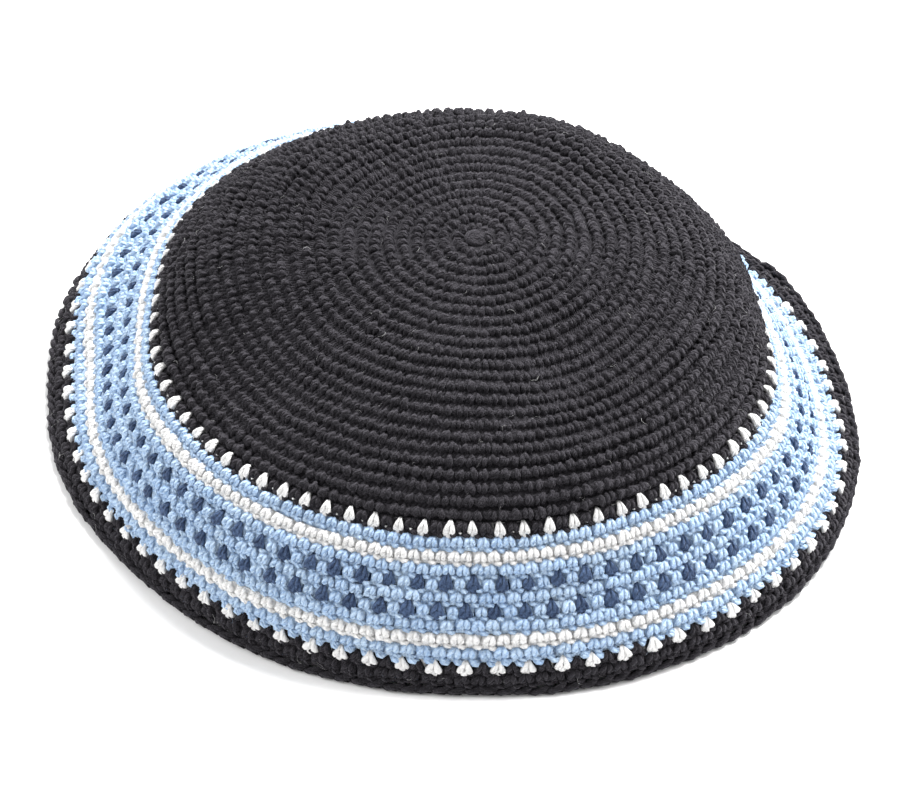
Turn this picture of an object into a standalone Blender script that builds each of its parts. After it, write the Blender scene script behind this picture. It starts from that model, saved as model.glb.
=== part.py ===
"""Crocheted kippah skullcap, lying on its rim with the hollow underneath.

The cap is one soft fabric worked outward from the middle in rounds of stitches.
Its form comes from two things: every round is one row pitch further along the
fabric, and a short table says how steeply the fabric falls at chosen rounds in
twelve directions. Each run of rounds that is worked in its own yarn is a solid.
Seen from above, bearing 0 is the right-hand side and bearing 90 is the front.
"""
import math
from collections import namedtuple

import bpy

# Driving dimensions, in metres and rounds
ROW_PITCH = 0.0026
ROUNDS = 37.75
WALL = 0.0022
GAP = 0.0003
CAP_HEIGHT = 0.0451
PRESSED = 0.0004
AROUND = 48
STEPS_PER_ROUND = 4
CROWN_STRIP_TAPER = 1.5
CUTTER_SPAN = 0.3
CUTTER_DEPTH = 0.02

# Slope of the fabric below the horizontal, in degrees, at the rounds that the columns name
Section = namedtuple("Section", "bearing at12 at16 at20 at24 at28 at32 at35 rim")
SECTIONS = [
    Section(0, 15, 24, 48, 76, 53, 72, 33, 23),
    Section(30, 19, 10, 45, 37, 52, 65, 48, 64),
    Section(60, 23, 11, 13, 43, 56, 53, 59, 75),
    Section(90, 9, 19, 23, 43, 57, 56, 65, 72),
    Section(120, 11, 23, 22, 33, 44, 62, 76, 69),
    Section(150, 16, 29, 23, 22, 47, 63, 69, 61),
    Section(180, 0, 6, 28, 55, 55, 45, 38, 41),
    Section(210, -7, 10, 35, 42, 35, 23, 46, 64),
    Section(240, 1, 20, 46, 33, 33, 39, 52, 67),
    Section(270, 0, 37, 56, 48, 48, 51, 51, 48),
    Section(300, -3, 46, 72, 48, 67, 73, 44, 26),
    Section(330, 18, 29, 57, 77, 67, 58, 40, 14),
]
TABLE_ROUNDS = (0, 6, 12, 16, 20, 24, 28, 32, 35, ROUNDS)
SLOPE_AT_MIDDLE = 0
SLOPE_AT_ROUND_6 = 4

# Each run of rounds in one yarn: its first and last round, and how many strips it is lofted in
Run = namedtuple("Run", "name start end strips yarn")
RUNS = [
    Run("crown", 0, 25, 10, "black"),
    Run("inner_points_round", 25, 26, 1, "black"),
    Run("inner_blue_round", 26, 27, 1, "light_blue"),
    Run("inner_white_round", 27, 28, 1, "white"),
    Run("check_band", 28, 33, 5, "light_blue"),
    Run("outer_white_round", 33, 34, 1, "white"),
    Run("outer_blue_round", 34, 35, 1, "light_blue"),
    Run("outer_points_round", 35, 36, 1, "black"),
    Run("edging", 36, ROUNDS, 2, "black"),
]
YARNS = {
    "black": (0.022, 0.020, 0.024),
    "light_blue": (0.46, 0.62, 0.86),
    "white": (0.86, 0.86, 0.88),
}
YARN_ROUGHNESS = 0.95


def clear_scene():
    for old in list(bpy.data.objects):
        bpy.data.objects.remove(old, do_unlink=True)


def make_collection(name):
    collection = bpy.data.collections.new(name)
    bpy.context.scene.collection.children.link(collection)
    return collection


def make_material(name, colour):
    material = bpy.data.materials.new(name)
    material.use_nodes = True
    shader = material.node_tree.nodes["Principled BSDF"]
    shader.inputs["Base Color"].default_value = (*colour, 1.0)
    shader.inputs["Roughness"].default_value = YARN_ROUGHNESS
    shader.inputs["Metallic"].default_value = 0.0
    return material


def catmull_rom(before, start, end, after, t):
    """A smooth value between start and end, at t from 0 to 1."""
    bend = 2 * before - 5 * start + 4 * end - after
    twist = 3 * start - before - 3 * end + after
    return start + 0.5 * t * (end - before + t * (bend + t * twist))


def slopes_along(bearing):
    """The fabric's slope at each of TABLE_ROUNDS, read between the table's rows."""
    spacing = 360 / len(SECTIONS)
    position = bearing / spacing
    row = math.floor(position)
    near = [SECTIONS[(row + k) % len(SECTIONS)][1:] for k in (-1, 0, 1, 2)]
    slopes = [catmull_rom(*values, position - row) for values in zip(*near)]
    return [SLOPE_AT_MIDDLE, SLOPE_AT_ROUND_6] + slopes


def between(value, xs, ys):
    """Straight-line reading of ys at value."""
    for x0, x1, y0, y1 in zip(xs, xs[1:], ys, ys[1:]):
        if value <= x1:
            return y0 + (y1 - y0) * (value - x0) / (x1 - x0)
    return ys[-1]


def meridian(bearing):
    """Radius and height of the outer surface at every quarter round along one bearing."""
    slopes = slopes_along(bearing)
    step = ROW_PITCH / STEPS_PER_ROUND
    radius, drop = [0.0], [0.0]
    for k in range(int(ROUNDS * STEPS_PER_ROUND)):
        middle = (k + 0.5) / STEPS_PER_ROUND
        slope = math.radians(between(middle, TABLE_ROUNDS, slopes))
        radius.append(radius[-1] + step * math.cos(slope))
        drop.append(drop[-1] + step * math.sin(slope))
    # The rim's lower corner reaches just below the surface that the cap lies on
    rim_height = WALL * math.cos(math.radians(slopes[-1])) - PRESSED
    settle = (CAP_HEIGHT - rim_height) / drop[-1]
    return radius, [CAP_HEIGHT - settle * d for d in drop]


class Surface:
    """The cap's outer surface, centred over its rim."""

    def __init__(self):
        self.bearings = [360 * k / AROUND for k in range(AROUND)]
        self.meridians = [meridian(b) for b in self.bearings]
        self.shift = (0.0, 0.0)
        rim = self.ring(ROUNDS)
        self.shift = tuple((min(p[i] for p in rim) + max(p[i] for p in rim)) / 2 for i in (0, 1))

    def ring(self, round_number):
        """Points of one round, in order of bearing."""
        position = round_number * STEPS_PER_ROUND
        low = min(int(position), len(self.meridians[0][0]) - 2)
        part = position - low
        points = []
        for bearing, (radii, heights) in zip(self.bearings, self.meridians):
            radius = radii[low] + part * (radii[low + 1] - radii[low])
            height = heights[low] + part * (heights[low + 1] - heights[low])
            angle = math.radians(bearing)
            x = radius * math.cos(angle) - self.shift[0]
            y = -radius * math.sin(angle) - self.shift[1]
            points.append((x, y, height))
        return points


def loft_rounds(surface, name, rounds):
    """An open sheet through the given rounds, closed to a point where it starts at the middle."""
    vertices, faces = [], []
    starts_at_middle = rounds[0] == 0
    if starts_at_middle:
        vertices.append(surface.ring(0)[0])
    rings = rounds[1:] if starts_at_middle else rounds
    for round_number in rings:
        vertices.extend(surface.ring(round_number))
    first = len(vertices) - AROUND * len(rings)
    for k in range(AROUND):
        after = (k + 1) % AROUND
        if starts_at_middle:
            faces.append((0, first + after, first + k))
        for r in range(len(rings) - 1):
            inner = first + r * AROUND
            outer = inner + AROUND
            faces.append((inner + k, inner + after, outer + after, outer + k))
    mesh = bpy.data.meshes.new(name)
    mesh.from_pydata(vertices, [], faces)
    mesh.validate()
    return mesh


def run_of_rounds(surface, run, material, collection):
    """One yarn's rounds as a wall, a small gap short of its neighbours."""
    half_gap = GAP / 2 / ROW_PITCH
    start = run.start + (half_gap if run.start > 0 else 0)
    end = run.end - (half_gap if run.end < ROUNDS else 0)
    # The crown bends most near its end, so its strips grow narrower towards there
    taper = CROWN_STRIP_TAPER if run.start == 0 else 1
    shares = [1 - (1 - k / run.strips) ** taper for k in range(run.strips + 1)]
    rounds = [start + (end - start) * share for share in shares]
    mesh = loft_rounds(surface, run.name, rounds)
    mesh.materials.append(material)
    mesh.shade_smooth()
    wall = bpy.data.objects.new(run.name, mesh)
    collection.objects.link(wall)
    thicken = wall.modifiers.new("wall", "SOLIDIFY")
    thicken.thickness = WALL
    thicken.offset = -1
    thicken.use_even_offset = True
    return wall


def table_cutter(collection):
    """A block whose top is the surface that the cap lies on."""
    bpy.ops.mesh.primitive_cube_add(size=1)
    block = bpy.context.object
    block.name = "table_cutter"
    for vertex in block.data.vertices:
        vertex.co.x *= CUTTER_SPAN
        vertex.co.y *= CUTTER_SPAN
        vertex.co.z = CUTTER_DEPTH * (vertex.co.z - 0.5)
    block.hide_render = True
    block.display_type = "WIRE"
    for holder in list(block.users_collection):
        holder.objects.unlink(block)
    collection.objects.link(block)
    return block


def flatten_rim(edging, block):
    """The fabric's edge is flat where it rests."""
    cut = edging.modifiers.new("rest", "BOOLEAN")
    cut.operation = "DIFFERENCE"
    cut.solver = "EXACT"
    cut.object = block


def build():
    clear_scene()
    cap = make_collection("kippah_skullcap")
    cutters = make_collection("cutters")
    surface = Surface()
    walls = {}
    for run in RUNS:
        material = make_material(run.name, YARNS[run.yarn])
        walls[run.name] = run_of_rounds(surface, run, material, cap)
    flatten_rim(walls["edging"], table_cutter(cutters))


build()
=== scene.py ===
import math

import bpy
import numpy as np
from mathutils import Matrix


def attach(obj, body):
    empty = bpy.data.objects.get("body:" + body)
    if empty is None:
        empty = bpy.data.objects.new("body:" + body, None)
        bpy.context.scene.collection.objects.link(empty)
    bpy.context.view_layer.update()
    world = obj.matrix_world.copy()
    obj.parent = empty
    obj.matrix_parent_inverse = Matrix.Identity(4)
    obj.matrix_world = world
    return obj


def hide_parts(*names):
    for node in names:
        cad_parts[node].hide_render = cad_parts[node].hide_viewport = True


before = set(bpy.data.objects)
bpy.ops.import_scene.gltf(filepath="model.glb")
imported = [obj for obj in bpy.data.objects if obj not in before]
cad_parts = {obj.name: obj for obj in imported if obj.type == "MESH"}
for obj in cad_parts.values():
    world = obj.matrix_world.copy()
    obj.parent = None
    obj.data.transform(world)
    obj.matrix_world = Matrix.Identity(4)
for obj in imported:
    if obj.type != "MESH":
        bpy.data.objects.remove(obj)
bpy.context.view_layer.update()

print("frame loaded:", len(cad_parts), "solids")

# The cap's own form: the slope of the fabric below the horizontal in degrees,
# a row every 30 degrees from the right-hand side round by the front
capForm = {
    "rowPitch": 0.0026,
    "rounds": 37.75,
    "wall": 0.0022,  # thickness of the fabric
    "height": 0.0451,
    "pressed": 0.0004,  # how far the rim's lower corner is flattened
    "stepsPerRound": 4,
    "stepsPastRim": 4,
    "tableRounds": (0, 6, 12, 16, 20, 24, 28, 32, 35, 37.75),
    "slopes": (
        (0, 4, 15, 24, 48, 76, 53, 72, 33, 23),
        (0, 4, 19, 10, 45, 37, 52, 65, 48, 64),
        (0, 4, 23, 11, 13, 43, 56, 53, 59, 75),
        (0, 4, 9, 19, 23, 43, 57, 56, 65, 72),
        (0, 4, 11, 23, 22, 33, 44, 62, 76, 69),
        (0, 4, 16, 29, 23, 22, 47, 63, 69, 61),
        (0, 4, 0, 6, 28, 55, 55, 45, 38, 41),
        (0, 4, -7, 10, 35, 42, 35, 23, 46, 64),
        (0, 4, 1, 20, 46, 33, 33, 39, 52, 67),
        (0, 4, 0, 37, 56, 48, 48, 51, 51, 48),
        (0, 4, -3, 46, 72, 48, 67, 73, 44, 26),
        (0, 4, 18, 29, 57, 77, 67, 58, 40, 14),
    ),
}
bearingSteps = 720  # meridians cut round the cap, half a degree apart
centringSteps = 48  # the solids are centred over the rim at these meridians


def selectNothing():
    for thing in list(bpy.context.selected_objects):
        thing.select_set(False)


selectNothing()


def slopesAt(bearings):
    rows = np.array(capForm["slopes"], float)
    position = bearings / (360 / len(rows))
    row = np.floor(position).astype(int)
    t = (position - row)[:, None]
    before, start, end, after = (rows[(row + k) % len(rows)] for k in (-1, 0, 1, 2))
    bend = 2 * before - 5 * start + 4 * end - after
    twist = 3 * start - before - 3 * end + after
    return start + 0.5 * t * (end - before + t * (bend + t * twist))


def cutCap():
    form = capForm
    bearings = np.arange(bearingSteps) * 360 / bearingSteps
    slopes = slopesAt(bearings)
    count = int(form["rounds"] * form["stepsPerRound"])
    middles = (np.arange(count + form["stepsPastRim"]) + 0.5) / form["stepsPerRound"]
    falls = np.radians([np.interp(middles, form["tableRounds"], row) for row in slopes])
    step = form["rowPitch"] / form["stepsPerRound"]
    start = np.zeros((bearingSteps, 1))
    radius = np.hstack([start, np.cumsum(step * np.cos(falls), axis=1)])
    drop = np.hstack([start, np.cumsum(step * np.sin(falls), axis=1)])
    rimHeight = form["wall"] * np.cos(np.radians(slopes[:, -1])) - form["pressed"]
    settle = (form["height"] - rimHeight) / drop[:, count]
    angle = np.radians(bearings)[:, None]
    height = form["height"] - settle[:, None] * drop
    places = np.stack([radius * np.cos(angle), -radius * np.sin(angle), height], axis=2)
    rim = places[:: bearingSteps // centringSteps, count, :2]
    places[:, :, :2] -= (rim.min(axis=0) + rim.max(axis=0)) / 2
    around = np.roll(places, -1, axis=0) - np.roll(places, 1, axis=0)
    outward = np.gradient(places, axis=1)
    normals = np.cross(around, outward)
    normals[:, 0] = (0, 0, 1)
    normals /= np.linalg.norm(normals, axis=2, keepdims=True)
    return places, normals


capPlaces, capNormals = cutCap()


def onCap(rounds, bearings, lift):  # lift is in metres off the outside of the fabric
    firstRow, lastRow = 0.02, capPlaces.shape[1] - 1.001  # just inside both ends of the table
    row = np.clip(np.asarray(rounds, float) * capForm["stepsPerRound"], firstRow, lastRow)
    column = (np.asarray(bearings, float) % 360) / 360 * bearingSteps
    r0, c0 = row.astype(int), column.astype(int) % bearingSteps
    c1 = (c0 + 1) % bearingSteps
    tr, tc = (row - r0)[..., None], (column - np.floor(column))[..., None]

    def read(table):
        near = table[c0, r0] * (1 - tr) + table[c0, r0 + 1] * tr
        far = table[c1, r0] * (1 - tr) + table[c1, r0 + 1] * tr
        return near * (1 - tc) + far * tc

    return read(capPlaces) + read(capNormals) * np.asarray(lift)[..., None]


crownTop = onCap(np.zeros(1), np.zeros(1), np.zeros(1))[0]

# Camera: how far it stands from the middle of the crown, and how it looks down
cameraView = {
    "fromCrown": (-0.00303, -1.0565, 0.9412),
    "elevation": 42.95,
    "lens": 292.3,
    "sensor": 36,
    "clipEnd": 20,
}


def placeCamera():
    place = tuple(crownTop[k] + cameraView["fromCrown"][k] for k in range(3))
    tilt = math.radians(90 - cameraView["elevation"])
    bpy.ops.object.camera_add(location=place, rotation=(tilt, 0, 0))
    camera = bpy.context.object
    camera.name = "photoCamera"
    camera.data.lens = cameraView["lens"]
    camera.data.sensor_width = cameraView["sensor"]
    camera.data.clip_end = cameraView["clipEnd"]
    bpy.context.scene.camera = camera


placeCamera()
print("camera placed")

# Yarn: what every yarn shares, then each one's own colours; its deep colour also stands for painted shade in the
# furrows between the plies
yarnFinish = {
    "plies": 3,
    "twist": 2.4,
    "fibreScale": 9.0,
    "fuzzScale": 2600.0,
    "patchScale": 150.0,
    "noiseDetail": 2,
    "noiseRoughness": 0.65,
    "rounding": 0.85,
    "fibreStretch": 0.6,
    "fibreShift": 7.0,
    "furrowShade": 0.12,
    "plyShade": 0.46,
    "fibreShade": 0.70,
    "patchShade": 0.35,
    "fibreRelief": 0.7,
    "fuzzRelief": 1.8,
    "fibreRoughness": 0.25,
    "roughness": 0.80,
    "sheenRoughness": 0.5,
}
yarnLooks = {
    "blackYarn": {
        "pale": (0.0268, 0.0247, 0.0295),
        "deepShadeAndTone": (0.0100, 0.0092, 0.0112),
        "sheen": 0.13,
        "sheenTint": (0.82, 0.78, 0.88),
        "specular": 0.10,
        "relief": 1.0,
        "reliefDepth": 0.00042,
        "fuzz": 2.1,
        "toneSpread": 0.22,
    },
    "lightBlueYarn": {
        "pale": (0.685, 0.83, 0.97),
        "deepShadeAndTone": (0.285, 0.45, 0.725),
        "sheen": 0.10,
        "sheenTint": (0.90, 0.95, 1.0),
        "specular": 0.2,
        "relief": 0.85,
        "reliefDepth": 0.00046,
        "fuzz": 1.1,
        "toneSpread": 0.22,
    },
    "whiteYarn": {
        "pale": (0.92, 0.915, 0.905),
        "deepShadeAndTone": (0.79, 0.785, 0.78),
        "sheen": 0.08,
        "sheenTint": (1.0, 1.0, 1.0),
        "specular": 0.2,
        "relief": 0.8,
        "reliefDepth": 0.00038,
        "fuzz": 1.0,
        "toneSpread": 0.16,
    },
    "navyYarn": {
        "pale": (0.092, 0.150, 0.280),
        "deepShadeAndTone": (0.010, 0.022, 0.060),
        "sheen": 0.10,
        "sheenTint": (0.75, 0.85, 1.0),
        "specular": 0.2,
        "relief": 0.9,
        "reliefDepth": 0.00030,
        "fuzz": 1.6,
        "toneSpread": 0.24,
    },
}


def addSocket(group, name, kind, side="INPUT", value=None):
    socket = group.interface.new_socket(name=name, in_out=side, socket_type="NodeSocket" + kind)
    if value is not None:
        socket.default_value = value


def makePlyGroup():
    group = bpy.data.node_groups.new("spunPlies", "ShaderNodeTree")
    for name in ("Strand", "Place"):
        addSocket(group, name, "Vector")
    for name in ("Pale", "Deep Shade And Tone"):
        addSocket(group, name, "Color")
    for name in ("Tone", "Tone Spread", "Fuzz Strength"):
        addSocket(group, name, "Float")
    addSocket(group, "Plies", "Float", value=yarnFinish["plies"])
    addSocket(group, "Twist", "Float", value=yarnFinish["twist"])
    addSocket(group, "Fibre Scale", "Float", value=yarnFinish["fibreScale"])
    addSocket(group, "Fuzz Scale", "Float", value=yarnFinish["fuzzScale"])
    addSocket(group, "Patch Scale", "Float", value=yarnFinish["patchScale"])
    addSocket(group, "Base Roughness", "Float", value=yarnFinish["roughness"])
    addSocket(group, "Color", "Color", "OUTPUT")
    addSocket(group, "Roughness", "Float", "OUTPUT")
    addSocket(group, "Height", "Float", "OUTPUT")
    nodes, link = group.nodes, group.links.new
    given, made = nodes.new("NodeGroupInput"), nodes.new("NodeGroupOutput")

    def maths(kind, *values, clamp=False):
        node = nodes.new("ShaderNodeMath")
        node.operation = kind
        node.use_clamp = clamp
        for slot, value in zip(node.inputs, values):
            if isinstance(value, (int, float)):
                slot.default_value = value
            else:
                link(value, slot)
        return node.outputs[0]

    def noise(vector, scale):
        node = nodes.new("ShaderNodeTexNoise")
        node.inputs["Detail"].default_value = yarnFinish["noiseDetail"]
        node.inputs["Roughness"].default_value = yarnFinish["noiseRoughness"]
        link(vector, node.inputs["Vector"])
        link(scale, node.inputs["Scale"])
        return maths("SUBTRACT", node.outputs[0], 0.5)

    apart = nodes.new("ShaderNodeSeparateXYZ")
    link(given.outputs["Strand"], apart.inputs[0])
    # Plies wind round the strand: the phase grows along it and round it
    along = maths("MULTIPLY", apart.outputs["X"], given.outputs["Twist"])
    phase = maths("MULTIPLY_ADD", apart.outputs["Y"], given.outputs["Plies"], along)
    wave = maths("ABSOLUTE", maths("SINE", maths("MULTIPLY", phase, math.pi)))
    ply = maths("POWER", wave, yarnFinish["rounding"])
    # Fibres run along the plies, fuzz stands off everywhere
    fibreSpace = nodes.new("ShaderNodeCombineXYZ")
    link(maths("MULTIPLY", apart.outputs["X"], yarnFinish["fibreStretch"]), fibreSpace.inputs["X"])
    link(phase, fibreSpace.inputs["Y"])
    link(maths("MULTIPLY", given.outputs["Tone"], yarnFinish["fibreShift"]), fibreSpace.inputs["Z"])
    fibre = noise(fibreSpace.outputs[0], given.outputs["Fibre Scale"])
    fuzz = noise(given.outputs["Place"], given.outputs["Fuzz Scale"])
    patch = noise(given.outputs["Place"], given.outputs["Patch Scale"])
    # Light and dark: painted shade in the furrows between the plies, where the colour goes to the deep one, then the
    # yarn's own tone from fibres, fuzz, each stitch's own tone and soft patches
    tone = maths("SUBTRACT", given.outputs["Tone"], 0.5)
    depth = maths("MULTIPLY_ADD", ply, yarnFinish["plyShade"], yarnFinish["furrowShade"])
    depth = maths("MULTIPLY_ADD", fibre, yarnFinish["fibreShade"], depth)
    depth = maths("MULTIPLY_ADD", fuzz, given.outputs["Fuzz Strength"], depth)
    depth = maths("MULTIPLY_ADD", tone, given.outputs["Tone Spread"], depth)
    depth = maths("MULTIPLY_ADD", patch, yarnFinish["patchShade"], depth, clamp=True)
    blend = nodes.new("ShaderNodeMix")
    blend.data_type = "RGBA"
    link(depth, blend.inputs["Factor"])
    # The mix node has a set of sockets for each kind of value, so its colour ones are picked out
    deepShadeAndTone, pale = [socket for socket in blend.inputs if socket.type == "RGBA"]
    link(given.outputs["Deep Shade And Tone"], deepShadeAndTone)
    link(given.outputs["Pale"], pale)
    blended = [socket for socket in blend.outputs if socket.type == "RGBA"][0]
    roughness = maths("MULTIPLY_ADD", fibre, yarnFinish["fibreRoughness"], given.outputs["Base Roughness"])
    height = maths("MULTIPLY_ADD", fibre, yarnFinish["fibreRelief"], ply)
    height = maths("MULTIPLY_ADD", fuzz, yarnFinish["fuzzRelief"], height)
    link(blended, made.inputs["Color"])
    link(roughness, made.inputs["Roughness"])
    link(height, made.inputs["Height"])
    return group


def makeYarn(name, group):
    look = yarnLooks[name]
    material = bpy.data.materials.new(name)
    material.use_nodes = True
    nodes, link = material.node_tree.nodes, material.node_tree.links.new
    shader = nodes["Principled BSDF"]
    plies = nodes.new("ShaderNodeGroup")
    plies.node_tree = group
    plies.inputs["Pale"].default_value = (*look["pale"], 1)
    plies.inputs["Deep Shade And Tone"].default_value = (*look["deepShadeAndTone"], 1)
    plies.inputs["Tone Spread"].default_value = look["toneSpread"]
    plies.inputs["Fuzz Strength"].default_value = look["fuzz"]
    strand = nodes.new("ShaderNodeUVMap")
    strand.uv_map = "strand"
    tone = nodes.new("ShaderNodeAttribute")
    tone.attribute_name = "stitchTone"
    place = nodes.new("ShaderNodeTexCoord")
    bump = nodes.new("ShaderNodeBump")
    bump.inputs["Strength"].default_value = look["relief"]
    bump.inputs["Distance"].default_value = look["reliefDepth"]
    link(strand.outputs["UV"], plies.inputs["Strand"])
    link(place.outputs["Object"], plies.inputs["Place"])
    link(tone.outputs["Fac"], plies.inputs["Tone"])
    link(plies.outputs["Color"], shader.inputs["Base Color"])
    link(plies.outputs["Roughness"], shader.inputs["Roughness"])
    link(plies.outputs["Height"], bump.inputs["Height"])
    link(bump.outputs["Normal"], shader.inputs["Normal"])
    shader.inputs["Specular IOR Level"].default_value = look["specular"]
    shader.inputs["Sheen Weight"].default_value = look["sheen"]
    shader.inputs["Sheen Roughness"].default_value = yarnFinish["sheenRoughness"]
    shader.inputs["Sheen Tint"].default_value = (*look["sheenTint"], 1)
    return material


plyGroup = makePlyGroup()
yarns = {name: makeYarn(name, plyGroup) for name in yarnLooks}
print("yarns ready")

# One single crochet stitch, in its own units: across in stitches, outward in rounds, and up in rounds.
# Each point is across, outward, up and the strand's half thickness
stitchForm = {
    "leg": (
        (0.085, 0.02, -0.42, 0.13),
        (0.125, 0.14, -0.15, 0.18),
        (0.19, 0.33, -0.06, 0.225),
        (0.245, 0.53, -0.10, 0.23),
        (0.265, 0.74, -0.38, 0.18),
    ),
    "loop": (
        (0.02, 0.78, -0.44, 0.14),
        (0.20, 0.90, -0.17, 0.19),
        (0.44, 0.96, -0.15, 0.19),
        (0.66, 0.88, -0.44, 0.14),
    ),
    "core": (
        (0.0, 0.24, -0.34, 0.14),
        (0.0, 0.44, -0.13, 0.20),
        (0.0, 0.66, -0.12, 0.23),
        (0.0, 0.84, -0.40, 0.18),
    ),
    "filling": (
        (0.0, 0.38, -0.34, 0.12),
        (0.0, 0.56, -0.19, 0.18),
        (0.0, 0.76, -0.22, 0.20),
        (0.0, 0.90, -0.45, 0.15),
    ),
    "post": ((0.0, 0.5, -0.42), (1.02, 1.04, 0.45)),
}
# The same stitch in the black yarn, which fills out its row and shows no loop
fullForm = {
    "leg": (
        (0.06, 0.12, -0.42, 0.14),
        (0.10, 0.24, -0.11, 0.21),
        (0.13, 0.42, -0.02, 0.25),
        (0.16, 0.60, -0.05, 0.245),
        (0.17, 0.78, -0.42, 0.16),
    ),
    "base": ((-0.56, 0.46, -0.34, 0.33), (0.0, 0.46, -0.32, 0.35), (0.56, 0.46, -0.34, 0.33)),
}
# The slip stitches that turn the edge: a strand that slants over it, one that lies along it and the yarn inside
edgeForm = {
    "upper": (
        (-0.62, 0.52, -0.35, 0.165),
        (-0.24, 0.46, -0.10, 0.215),
        (0.22, 0.26, -0.06, 0.225),
        (0.62, 0.08, -0.33, 0.17),
    ),
    "lower": (
        (-0.62, 0.44, -0.78, 0.16),
        (-0.22, 0.70, -0.48, 0.21),
        (0.24, 0.72, -0.46, 0.21),
        (0.64, 0.48, -0.72, 0.16),
    ),
    "inside": ((-0.62, 0.42, -0.36, 0.23), (0.0, 0.44, -0.33, 0.24), (0.62, 0.42, -0.36, 0.23)),
}
# A loose fibre one unit long, and the bit of white that shows where it is carried behind a black stitch
fibreForm = (
    (-0.46, 0.0, -0.10, 0.007),
    (-0.25, 0.09, 0.05, 0.010),
    (0.0, 0.15, 0.10, 0.011),
    (0.25, 0.03, 0.12, 0.010),
    (0.42, -0.16, 0.06, 0.006),
)
speckForm = ((-0.10, 0.66, -0.16, 0.05), (0.0, 0.71, -0.01, 0.08), (0.10, 0.66, -0.16, 0.05))
newPathPoints = 5  # a path is added with this many
mergeDistance = 0.0001  # in stitches, for the ends of strands


def bendStrand(points, sides, mirrored=False):
    selectNothing()
    bpy.ops.curve.primitive_nurbs_path_add()
    path = bpy.context.object
    path.data.splines[0].type = "POLY"
    if len(points) < newPathPoints:
        bpy.ops.object.mode_set(mode="EDIT")
        bpy.ops.curve.select_all(action="DESELECT")
        for extra in list(path.data.splines[0].points)[len(points):]:
            extra.select = True
        bpy.ops.curve.delete(type="VERT")
        bpy.ops.object.mode_set(mode="OBJECT")
    for point, (across, outward, up, half) in zip(path.data.splines[0].points, points):
        point.co = (-across if mirrored else across, outward, up, 1)
        point.radius = half
    path.data.bevel_depth = 1
    path.data.bevel_resolution = (sides - 4) // 2  # a round bevel starts with four sides
    path.data.use_fill_caps = True
    bpy.ops.object.convert(target="MESH")
    strand = bpy.context.object
    strand.data.uv_layers[0].name = "strand"
    return strand


def addPost(centre, size):
    selectNothing()
    bpy.ops.mesh.primitive_cube_add(size=1, location=centre)
    post = bpy.context.object
    post.scale = size
    bpy.ops.object.transform_apply(location=True, rotation=True, scale=True)
    post.data.uv_layers[0].name = "strand"
    return post


def takeShape(parts):  # joins the parts, closes their ends and keeps the form for copying
    selectNothing()
    for part in parts:
        part.select_set(True)
    bpy.context.view_layer.objects.active = parts[0]
    bpy.ops.object.join()
    bpy.ops.object.mode_set(mode="EDIT")
    bpy.ops.mesh.select_all(action="SELECT")
    bpy.ops.mesh.remove_doubles(threshold=mergeDistance)
    bpy.ops.mesh.normals_make_consistent(inside=False)
    bpy.ops.object.mode_set(mode="OBJECT")
    mesh = bpy.context.object.data
    strand = mesh.uv_layers["strand"].data
    # The fabric's own across, outward and up run left-handed, so the faces' corners are taken in reverse
    turned = [list(reversed(p.loop_indices)) for p in mesh.polygons]
    shape = {
        "points": np.array([v.co for v in mesh.vertices], float),
        "sizes": np.array([len(p.vertices) for p in mesh.polygons]),
        "corners": np.array([mesh.loops[k].vertex_index for face in turned for k in face]),
        "strand": np.array([strand[k].uv for face in turned for k in face]),
    }
    shape["triangles"] = int((shape["sizes"] - 2).sum())
    bpy.data.objects.remove(bpy.context.object, do_unlink=True)
    return shape


def makeStrand(part, mirrored=False):
    return bendStrand(stitchForm[part], bandSides, mirrored)


def makeLegs():
    return [makeStrand("leg"), makeStrand("leg", mirrored=True)]


bandSides, crownSides, hairSides = 8, 6, 4  # sides to a strand
fullLegs = [takeShape([bendStrand(fullForm["leg"], crownSides, mirrored)]) for mirrored in (False, True)]
fullBase = takeShape([bendStrand(fullForm["base"], crownSides)])
bandStitch = takeShape(makeLegs() + [makeStrand("loop"), addPost(*stitchForm["post"])])
checkLegs = takeShape(makeLegs() + [makeStrand("core")])
groundLegs = takeShape(makeLegs() + [addPost(*stitchForm["post"])])
pointLegs = takeShape(makeLegs() + [makeStrand("filling")])
stitchPost = takeShape([addPost(*stitchForm["post"])])
bandLoop = takeShape([makeStrand("loop")])
edgeLink = takeShape([bendStrand(edgeForm[strand], bandSides) for strand in ("upper", "lower", "inside")])
speck = takeShape([bendStrand(speckForm, crownSides)])
looseFibre = takeShape([bendStrand(fibreForm, hairSides)])
print("stitches modelled, a band stitch with", bandStitch["triangles"], "triangles")

# How the rounds are worked: places along a round are shares of it from where it starts,
# and a wave is how often it goes round, how far it shifts from round to round, and its height
working = {
    "fullRound": 160,
    "frontBearing": 90,
    "startBearing": 324.5,
    "evenHand": {"across": 0.055, "outward": 0.04, "lift": 0.00008, "turn": 0.10, "size": 0.05},
    "looseHand": {"across": 0.08, "outward": 0.05, "lift": 0.00014, "turn": 0.22, "size": 0.12},
    "turnOutward": 0.6,  # a turned stitch also tilts by this share of its turn
    "wander": 0.06,
    "wanderWaves": ((5, 0.11, 1.0), (11, -0.17, 0.8)),
    "swell": 0.00014,
    "swellWaves": ((9, 0.21, 1.0), (17, -0.33, 1.0)),
    "rimInset": ((0.0, 0.12, 0.78, 0.85, 0.95, 1.0), (0.45, 0.0, 0.0, 0.45, 0.35, -0.1)),
}
lowestPoint = 0.00005  # in metres above the floor


def roundShares(level):  # shares of a round's length from where it starts, and their bearings
    bearings = working["startBearing"] - np.arange(bearingSteps + 1) * 360 / bearingSteps
    ring = onCap(np.full(len(bearings), level), bearings, np.zeros(len(bearings)))
    lengths = np.linalg.norm(np.diff(ring, axis=0), axis=1)
    return np.concatenate([[0], np.cumsum(lengths)]) / lengths.sum(), bearings


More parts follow.
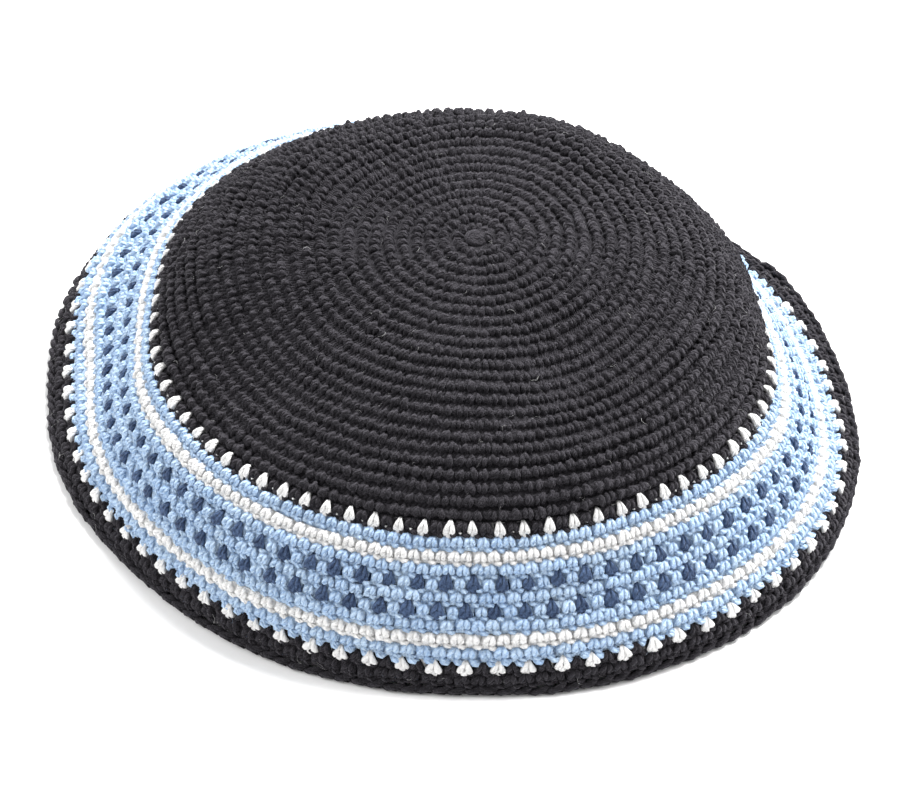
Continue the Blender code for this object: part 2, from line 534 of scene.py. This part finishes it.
def softWave(size, waves, share, number):
    wave, heights = 0, 0
    for times, shift, height in waves:
        wave = wave + height * np.sin(2 * math.pi * (times * share + shift * number))
        heights += height
    return size * wave / heights


def layStitches(
    shape, number, share, count, level, rng, uneven,
    stretch=(1, 0), spread=(1, 1), sizeAlong=((0, 1), (1, 1)), rimStep=0.0, raised=0.0,
):
    # share and level say where each stitch's middle is along the round, and which round its inner edge is at
    shares, bearings = roundShares(number - 0.5)
    size = len(share)
    centre = share + rng.normal(0, uneven["across"], size) / count
    wander = softWave(working["wander"], working["wanderWaves"], centre, number)
    level = level + wander + rng.normal(0, uneven["outward"], size)
    level = level - rimStep * np.interp(share, *working["rimInset"])
    swell = softWave(working["swell"], working["swellWaves"], centre, number)
    lift = swell + rng.normal(0, uneven["lift"], size) + raised
    grow = ((1 + rng.normal(0, uneven["size"], size)) * np.interp(share, *sizeAlong))[:, None]
    turn = rng.normal(0, uneven["turn"], size)[:, None]
    x, y, z = (shape["points"][None, :, k] for k in range(3))
    across = x * (spread[0] + (spread[1] - spread[0]) * y) * grow + (y - 0.5) * turn
    outward = (y - 0.5) * stretch[0] * grow + 0.5 + stretch[1] - x * turn * working["turnOutward"]
    along = (centre[:, None] + across / (count if np.isscalar(count) else count[:, None])) % 1
    height = lift[:, None] + z * capForm["rowPitch"] * grow
    return onCap(level[:, None] + outward, np.interp(along, shares, bearings), height)


def triangleTotal(mesh):
    return sum(len(p.vertices) - 2 for p in mesh.polygons)


def finishPiece(mesh, materials, *replaced, slot):
    for material in materials:
        mesh.materials.append(material)
    mesh.update(calc_edges=True)
    mesh.validate()
    mesh.shade_smooth()
    piece = bpy.data.objects.new(mesh.name, mesh)
    bpy.context.scene.collection.objects.link(piece)
    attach(piece, "root")
    if replaced:
        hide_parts(*replaced)
    print(mesh.name, "has", triangleTotal(mesh), "triangles")


def addTones(mesh, tones):
    mesh.attributes.new("stitchTone", "FLOAT", "POINT").data.foreach_set("value", tones.astype(np.float32))


def joinStitches(name, batches, rng):  # each batch is a shape, its copies' places and its yarn's number
    points, corners, sizes, strands, looks, tones = [], [], [], [], [], []
    base = 0
    for shape, places, yarnNumber in batches:
        copies, perCopy = places.shape[:2]
        points.append(places.reshape(-1, 3))
        corners.append((shape["corners"][None, :] + base + np.arange(copies)[:, None] * perCopy).ravel())
        sizes.append(np.tile(shape["sizes"], copies))
        strands.append(np.tile(shape["strand"], (copies, 1)))
        looks.append(np.full(copies * len(shape["sizes"]), yarnNumber))
        tones.append(np.repeat(rng.random(copies), perCopy))
        base += copies * perCopy
    points = np.concatenate(points)
    points[:, 2] = np.maximum(points[:, 2], lowestPoint)
    corners, sizes = np.concatenate(corners), np.concatenate(sizes)
    starts = np.concatenate([[0], np.cumsum(sizes)[:-1]])
    mesh = bpy.data.meshes.new(name)
    mesh.vertices.add(len(points))
    mesh.vertices.foreach_set("co", points.astype(np.float32).ravel())
    mesh.loops.add(len(corners))
    mesh.loops.foreach_set("vertex_index", corners.astype(np.int32))
    mesh.polygons.add(len(sizes))
    mesh.polygons.foreach_set("loop_start", starts.astype(np.int32))
    mesh.polygons.foreach_set("material_index", np.concatenate(looks).astype(np.int32))
    mesh.uv_layers.new(name="strand").data.foreach_set("uv", np.concatenate(strands).astype(np.float32).ravel())
    addTones(mesh, np.concatenate(tones))
    return mesh


# Crown: one long spiral, with eight more stitches in every round until it is wide enough.
# On the right-hand side the rows are pulled tight, so they stand up as ribs
crown = {
    "rounds": 25,
    "pieces": (("crown_middle", 0, 14), ("crown_slope", 14, 20), ("crown_border", 20, 25)),
    "firstTurn": 0.9,
    "increasesPerRound": 8,
    "spiralUntil": 18,
    "ribs": ((0.0, 0.10, 0.68, 0.80, 1.0), (0.00034, 0.0, 0.0, 0.00034, 0.00034)),
    "seed": 11,
}


def crownTurns():
    turns, turn = [], crown["firstTurn"]
    while turn < crown["rounds"]:
        turns.append(turn)
        turn += 1 / min(crown["increasesPerRound"] * turn, working["fullRound"])
    return np.array(turns)


def crownBatches(turns, rng):
    batches = []
    for number in range(int(turns[0]) + 1, int(turns[-1]) + 2):
        mine = turns[(turns >= number - 1) & (turns < number)]
        share = mine - (number - 1)
        count = np.minimum(crown["increasesPerRound"] * mine, working["fullRound"])
        # Towards the coloured rounds the spiral settles into closed rings
        rings = np.clip((mine - crown["spiralUntil"]) / (crown["rounds"] - crown["spiralUntil"]), 0, 1)
        level = number - 1 + (1 - rings) * (share - 0.5)
        place = (number, share, count, level, rng)
        for legs in fullLegs:
            batches.append((legs, layStitches(legs, *place, working["looseHand"]), 0))
        ribs = np.interp(share, *crown["ribs"])
        batches.append((fullBase, layStitches(fullBase, *place, working["evenHand"], raised=ribs), 0))
    return batches


def makeCrown():
    rng = np.random.default_rng(crown["seed"])
    turns = crownTurns()
    for name, first, last in crown["pieces"]:
        batches = crownBatches(turns[(turns >= first) & (turns < last)], rng)
        replaced = ["crown"] if first == 0 else []
        finishPiece(joinStitches(name, batches, rng), [yarns["blackYarn"]], *replaced, slot="black_yarn")


makeCrown()
print("crown crocheted")

# Knot that closes the middle of the crown
knot = {
    "radius": 0.0023,
    "height": 0.0010,
    "sunk": 0.0004,
    "unevenness": 0.06,
    "segments": 32,
    "rings": 16,
    "tone": 0.6,
    "seed": 3,
}


def makeKnot():
    selectNothing()
    bpy.ops.mesh.primitive_uv_sphere_add(segments=knot["segments"], ring_count=knot["rings"], radius=1)
    piece = bpy.context.object
    piece.name = piece.data.name = "centre_knot"
    piece.scale = (knot["radius"], knot["radius"], knot["height"])
    piece.location = (crownTop[0], crownTop[1], crownTop[2] - knot["sunk"])
    bpy.ops.object.transform_apply(location=True, rotation=True, scale=True)
    rng = np.random.default_rng(knot["seed"])
    for vertex in piece.data.vertices:
        vertex.co.z += rng.normal(0, knot["unevenness"]) * knot["height"]
    piece.data.uv_layers[0].name = "strand"
    addTones(piece.data, np.full(len(piece.data.vertices), knot["tone"]))
    piece.data.materials.append(yarns["blackYarn"])
    piece.data.shade_smooth()
    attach(piece, "root")


makeKnot()


# Coloured rounds: closed rings whose stitches lean a quarter stitch to the left from one to the next.
# The rim steps say how closely the last rounds keep to the rim's inset
band = {
    "innerPoints": 26,
    "innerBlue": 27,
    "innerWhite": 28,
    "plainBlue": (29, 31, 33),
    "innerChecks": 30,
    "outerChecks": 32,
    "outerWhite": 34,
    "outerBlue": 35,
    "outerPoints": 36,
    "edging": 37,
    "slipStitches": 38,
    "pointOffset": -0.18,
    "leanPerRound": -0.25,
    "specksKept": 0.7,  # share of the black stitches that show a bit of white
    "plainEdge": (0.03, 0.978),  # the outer points stand between these places along the round
    "reach": ((0.0, 0.035, 0.07, 1.0), (0.9, 0.9, 0.0, 0.0)),
    "reachingRounds": (30, 36),
    "rimSteps": {"outerBlue": -0.12, "outerPoints": -0.25, "edging": 0.4, "slipStitches": 1.0},
    "seed": 23,
}
# The figures are smaller on the left, where the yarn was pulled tighter, and largest in front
figures = {
    "innerPoints": {
        "stretch": (1.36, 0.05),
        "spread": (0.66, 1.30),
        "raised": 0.00015,
        "sizeAlong": ((0.0, 0.3, 0.38, 0.5, 0.6, 1.0), (0.9, 0.84, 0.84, 0.95, 1.0, 1.0)),
    },
    "innerChecks": {
        "stretch": (1.52, 0.0),
        "spread": (0.62, 1.46),
        "sizeAlong": ((0.0, 0.3, 0.36, 0.48, 0.60, 0.78, 0.88, 1.0), (0.65, 0.66, 0.62, 0.80, 1.04, 1.0, 0.65, 0.65)),
    },
    "outerChecks": {
        "stretch": (1.52, 0.0),
        "spread": (0.62, 1.46),
        "sizeAlong": ((0.0, 0.3, 0.36, 0.48, 0.60, 0.78, 0.88, 1.0), (0.7, 0.76, 0.76, 0.84, 1.04, 1.0, 0.7, 0.7)),
    },
    "outerPoints": {"stretch": (1.24, 0.07), "spread": (0.62, 1.46), "raised": 0.00012},
    "betweenChecks": {"spread": (1.0, 0.84)},
    "betweenOuterPoints": {"stretch": (1.05, 0.10), "spread": (0.55, 1.15)},
    "lowLoops": {"stretch": (1.0, 0.24), "raised": 0.00022},
}
bandRng = np.random.default_rng(band["seed"])


def ringOfStitches(shape, name, yarnNumber=0, first=0, every=1, start=0, end=1, kept=1, **how):
    number = band.get(name, name)  # a plain round goes by its number alone
    count = working["fullRound"]
    lean = band["pointOffset"] + band["leanPerRound"] * (number - band["innerPoints"])
    shares, bearings = roundShares(number - 0.5)
    front = np.interp(-working["frontBearing"], -bearings, shares)
    share = (front + (np.arange(first, count, every) + lean) / count) % 1
    share = share[(share >= start) & (share < end)]
    share = share[bandRng.random(len(share)) < kept]
    # Behind the step in the rim the last rounds of the band lie further out
    inner, outer = band["reachingRounds"]
    reach = max(0, number - inner) / (outer - inner) * (number <= outer)
    level = number - 1 + reach * np.interp(share, *band["reach"])
    rimStep = band["rimSteps"].get(name, 0.0)
    places = layStitches(
        shape, number, share, count, level, bandRng, working["evenHand"], rimStep=rimStep, **how
    )
    return shape, places, yarnNumber


# Where two yarns take turns in a round, all its loops are in the ground yarn, which is carried along
def twoYarnRound(shape, name, between, figureFirst, figureYarn, reach=(0, 1)):
    others = {"first": figureFirst, "every": 2}
    ground = {"first": 1 - figureFirst, "every": 2, **between}
    batches = [
        ringOfStitches(shape, name, figureYarn, start=reach[0], end=reach[1], **others, **figures[name]),
        ringOfStitches(stitchPost, name, **others),
        ringOfStitches(groundLegs, name, **ground),
        ringOfStitches(bandLoop, name),
    ]
    for start, end in ((0, reach[0]), (reach[1], 1)):  # where the figures stop, the ground yarn goes on
        if end > start:
            batches.append(ringOfStitches(groundLegs, name, start=start, end=end, **others, **between))
    return batches


def bandPiece(name, yarnNames, batches, *replaced, slot):
    finishPiece(joinStitches(name, batches, bandRng), [yarns[y] for y in yarnNames], *replaced, slot=slot)


innerPoints = twoYarnRound(pointLegs, "innerPoints", {}, 0, 1)
innerPoints.append(ringOfStitches(speck, "innerPoints", 1, 1, 2, kept=band["specksKept"]))
bandPiece("inner_points", ["blackYarn", "whiteYarn"], innerPoints, "inner_points_round", slot="black_yarn")

innerBlue = [ringOfStitches(bandStitch, "innerBlue")]
bandPiece("inner_blue", ["lightBlueYarn"], innerBlue, "inner_blue_round", slot="light_blue_yarn")

innerWhite = [ringOfStitches(bandStitch, "innerWhite")]
bandPiece("inner_white", ["whiteYarn"], innerWhite, "inner_white_round", slot="white_yarn")

innerChecks, *innerGround = twoYarnRound(checkLegs, "innerChecks", figures["betweenChecks"], 1, 0)
outerChecks, *outerGround = twoYarnRound(checkLegs, "outerChecks", figures["betweenChecks"], 1, 0)
bandBlue = [ringOfStitches(bandStitch, number) for number in band["plainBlue"]] + innerGround + outerGround
bandPiece("check_band_blue", ["lightBlueYarn"], bandBlue, "check_band", slot="check_yarn")
bandPiece("check_band_navy", ["navyYarn"], [innerChecks, outerChecks], slot="check_yarn")

outerWhite = [ringOfStitches(bandStitch, "outerWhite")]
bandPiece("outer_white", ["whiteYarn"], outerWhite, "outer_white_round", slot="white_yarn")

outerBlue = [
    ringOfStitches(bandStitch, "outerBlue"),
    ringOfStitches(bandLoop, "outerBlue", **figures["lowLoops"]),
]
bandPiece("outer_blue", ["lightBlueYarn"], outerBlue, "outer_blue_round", slot="light_blue_yarn")

outerPoints = twoYarnRound(pointLegs, "outerPoints", figures["betweenOuterPoints"], 0, 1, band["plainEdge"])
bandPiece("outer_points", ["blackYarn", "whiteYarn"], outerPoints, "outer_points_round", slot="black_yarn")

edging = [ringOfStitches(bandStitch, "edging"), ringOfStitches(edgeLink, "slipStitches")]
bandPiece("edging_round", ["blackYarn"], edging, "edging", slot="black_yarn")
print("band and edging crocheted")

# Loose fibres and lint: how many, between which rounds, at which bearings, how long in metres and in which yarn
looseFibres = {
    "crownHairs": {
        "count": 420, "rounds": (1, 25), "bearings": (0, 360),
        "length": (0.0010, 0.0022), "lift": 0.00012, "yarn": "blackYarn",
    },
    "edgeHairs": {
        "count": 150, "rounds": (36.2, 37.7), "bearings": (0, 360),
        "length": (0.0009, 0.0018), "lift": 0.0001, "yarn": "blackYarn",
    },
    "crownLint": {
        "count": 230, "rounds": (1, 25), "bearings": (0, 360),
        "length": (0.0008, 0.0022), "lift": 0.0002, "yarn": "whiteYarn",
    },
    "knotLint": {
        "count": 9, "rounds": (1.0, 1.5), "bearings": (31, 38),
        "length": (0.0005, 0.0010), "lift": 0.0003, "yarn": "whiteYarn",
    },
    "slopeLint": {
        "count": 3, "rounds": (18.9, 19.1), "bearings": (88.5, 89.5),
        "length": (0.0006, 0.0012), "lift": 0.0002, "yarn": "whiteYarn",
    },
    "borderLint": {
        "count": 3, "rounds": (23.9, 24.1), "bearings": (70.5, 71.5),
        "length": (0.0006, 0.0012), "lift": 0.0002, "yarn": "whiteYarn",
    },
    "edgeLint": {
        "count": 70, "rounds": (36.3, 37.2), "bearings": (0, 360),
        "length": (0.0010, 0.0024), "lift": 0.0001, "yarn": "whiteYarn",
    },
    "bandLint": {
        "count": 110, "rounds": (26, 36), "bearings": (0, 360),
        "length": (0.0008, 0.0018), "lift": 0.0002, "yarn": "lightBlueYarn",
    },
}
fibreBend = 1.6  # the most that a fibre bends, to either side
fibreSeed = 47


def layFibres(form, rng):
    size = form["count"]
    low, high = form["rounds"]
    level = np.sqrt(rng.uniform(low ** 2, high ** 2, size))  # even over the area
    bearing = rng.uniform(*form["bearings"], size)
    length = rng.uniform(*form["length"], size)[:, None]
    turn = rng.uniform(0, 2 * math.pi, size)[:, None]
    bend = rng.uniform(-fibreBend, fibreBend, size)[:, None]
    x, y, z = (looseFibre["points"][None, :, k] for k in range(3))
    y = y * bend
    across = (x * np.cos(turn) - y * np.sin(turn)) * length
    outward = (x * np.sin(turn) + y * np.cos(turn)) * length
    ahead = onCap(level, bearing + 1, np.zeros(size)) - onCap(level, bearing, np.zeros(size))
    degrees = across / np.linalg.norm(ahead, axis=1)[:, None]
    rounds = np.minimum(level[:, None] + outward / capForm["rowPitch"], capForm["rounds"])
    return looseFibre, onCap(rounds, bearing[:, None] - degrees, form["lift"] + z * length)


def scatterFibres():
    rng = np.random.default_rng(fibreSeed)
    names = ["blackYarn", "lightBlueYarn", "whiteYarn"]
    batches = [(*layFibres(form, rng), names.index(form["yarn"])) for form in looseFibres.values()]
    finishPiece(joinStitches("loose_fibres", batches, rng), [yarns[name] for name in names], slot="black_yarn")


scatterFibres()
print("loose fibres scattered")

# Wrong side: the fabric's inner face, with a bar for every stitch, and a plain layer behind the stitches.
# Lifts and heights are in rounds off the outside of the fabric
wrongSide = {
    "innerLift": -0.82,
    "barHeight": 0.15,
    "inset": ((35, 37), (0, 0.8)),
    "outerLift": -0.38,
    "crownOuterLift": -0.19,
    "rowsPerRound": 3,
    "halfStitches": 320,
    "innermost": 0.05,
    "outermost": 37.5,
    "smallestRing": 0.5,
    "bars": (0.0, 1.0, 0.8),
    "betweenBars": 0.5,
    "rowsWithoutBars": 4,
    "plainRounds": (36.5, 36, 35, 34, 33, 32, 31, 30, 29, 28, 27, 26, 25, 23, 20, 17, 14, 11, 8, 5, 2, 0.3),
    "strandScale": 0.5,
    "tones": 0.6,
    "seed": 5,
    "mergeDistance": 0.000001,
}
wrongSideYarns = ("blackYarn", "lightBlueYarn", "whiteYarn", "navyYarn")


def yarnOfRound(number, stitch):
    if number in (band["innerPoints"], band["outerPoints"]):
        yarn = "whiteYarn" if stitch % 2 == 0 else "blackYarn"
    elif number in (band["innerChecks"], band["outerChecks"]):
        yarn = "navyYarn" if stitch % 2 else "lightBlueYarn"
    elif number in (band["innerWhite"], band["outerWhite"]):
        yarn = "whiteYarn"
    else:
        yarn = "lightBlueYarn" if band["innerPoints"] < number < band["outerPoints"] else "blackYarn"
    return wrongSideYarns.index(yarn)


# The inner face's rows run outward to the rim, and the plain layer's run back to the middle
def wrongSideLevels():
    form = wrongSide
    innerRows = int(form["outermost"] * form["rowsPerRound"]) + 1
    inner = [max(form["innermost"], k / form["rowsPerRound"]) for k in range(innerRows)]
    return np.array(inner + list(form["plainRounds"])), innerRows


def wrongSidePlaces(levels, innerRows, columns):
    form = wrongSide
    share = np.arange(columns) / form["halfStitches"]
    onStitch = np.where(np.arange(columns) % 2 == 0, 1.0, form["betweenBars"])
    places = np.zeros((len(levels), columns, 3))
    for row, level in enumerate(levels):
        shares, bearings = roundShares(max(form["smallestRing"], level))
        if row < innerRows:
            bar = form["bars"][row % form["rowsPerRound"]] if row >= form["rowsWithoutBars"] else 0
            lift = form["innerLift"] - form["barHeight"] * (bar * onStitch)
        else:
            outer = form["crownOuterLift"] if level < crown["rounds"] else form["outerLift"]
            lift = np.full(columns, outer)
        reach = level - np.interp(level, *form["inset"]) * np.interp(share, *working["rimInset"])
        places[row] = onCap(reach, np.interp(share, shares, bearings), lift * capForm["rowPitch"])
    places[0] = places[0].mean(axis=0)
    places[-1] = places[-1].mean(axis=0)
    places[:, -1] = places[:, 0]
    places[:, :, 2] = np.maximum(places[:, :, 2], lowestPoint)
    return places


def makeWrongSide():
    form = wrongSide
    levels, innerRows = wrongSideLevels()
    rows, columns = len(levels), form["halfStitches"] + 1
    selectNothing()
    bpy.ops.mesh.primitive_grid_add(x_subdivisions=columns - 1, y_subdivisions=rows - 1, size=1)
    back = bpy.context.object
    back.name = back.data.name = "wrong_side"
    mesh = back.data
    places = wrongSidePlaces(levels, innerRows, columns)
    mesh.vertices.foreach_set("co", places.astype(np.float32).ravel())
    corner = np.zeros(len(mesh.loops), np.int32)
    mesh.loops.foreach_get("vertex_index", corner)
    strand = mesh.uv_layers[0]
    strand.name = "strand"
    along = np.stack([corner % columns, levels[corner // columns]], axis=1) * form["strandScale"]
    strand.data.foreach_set("uv", along.astype(np.float32).ravel())
    for face in mesh.polygons:
        row = min(v // columns for v in face.vertices)
        column = min(v % columns for v in face.vertices)
        middle = (levels[row] + levels[row + 1]) / 2
        face.material_index = yarnOfRound(int(middle) + 1, column // 2)
    addTones(mesh, np.random.default_rng(form["seed"]).random(len(mesh.vertices)) * form["tones"])
    bpy.ops.object.mode_set(mode="EDIT")
    bpy.ops.mesh.select_all(action="SELECT")
    bpy.ops.mesh.remove_doubles(threshold=form["mergeDistance"])
    bpy.ops.mesh.normals_make_consistent(inside=False)
    bpy.ops.object.mode_set(mode="OBJECT")
    for name in wrongSideYarns:
        mesh.materials.append(yarns[name])
    mesh.shade_smooth()
    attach(back, "root")
    print("wrong_side has", triangleTotal(mesh), "triangles")


makeWrongSide()
print("wrong side laid")

# Floor and light
studio = {
    "floorSize": 6.0,
    "floorColour": (0.95, 0.95, 0.95),
    "floorRoughness": 0.9,
    "floorSpecular": 0.1,
    "ambientColour": (1, 1, 1),
    "ambient": 0.55,
    "lamps": {
        "overheadSoftbox": {"place": (0.52, 0.76, 1.20), "size": 0.8, "power": 63.0},
        "rightSoftbox": {"place": (1.15, 0.10, 0.80), "size": 0.7, "power": 8.0},
        "leftSoftbox": {"place": (-1.15, -0.10, 0.90), "size": 0.8, "power": 13.0},
    },
}


def makeStudio():
    selectNothing()
    bpy.ops.mesh.primitive_plane_add(size=studio["floorSize"], location=(0, 0, 0))
    floor = bpy.context.object
    floor.name = "floor"
    paper = bpy.data.materials.new("paleFloor")
    paper.use_nodes = True
    finish = paper.node_tree.nodes["Principled BSDF"].inputs
    finish["Base Color"].default_value = (*studio["floorColour"], 1)
    finish["Roughness"].default_value = studio["floorRoughness"]
    finish["Specular IOR Level"].default_value = studio["floorSpecular"]
    floor.data.materials.append(paper)
    world = bpy.data.worlds.new("studioWorld")
    world.use_nodes = True
    sky = world.node_tree.nodes["Background"].inputs
    sky["Color"].default_value = (*studio["ambientColour"], 1)
    sky["Strength"].default_value = studio["ambient"]
    bpy.context.scene.world = world
    for name, lampForm in studio["lamps"].items():
        selectNothing()
        bpy.ops.object.light_add(type="AREA", location=lampForm["place"])
        lamp = bpy.context.object
        lamp.name = name
        lamp.data.size = lampForm["size"]
        lamp.data.energy = lampForm["power"]
        toward = -np.array(lampForm["place"]) / np.linalg.norm(lampForm["place"])
        lamp.rotation_euler = (math.acos(-toward[2]), 0, math.atan2(toward[1], toward[0]) - math.pi / 2)
    bpy.context.scene.view_settings.view_transform = "Standard"


makeStudio()
print("studio lit")
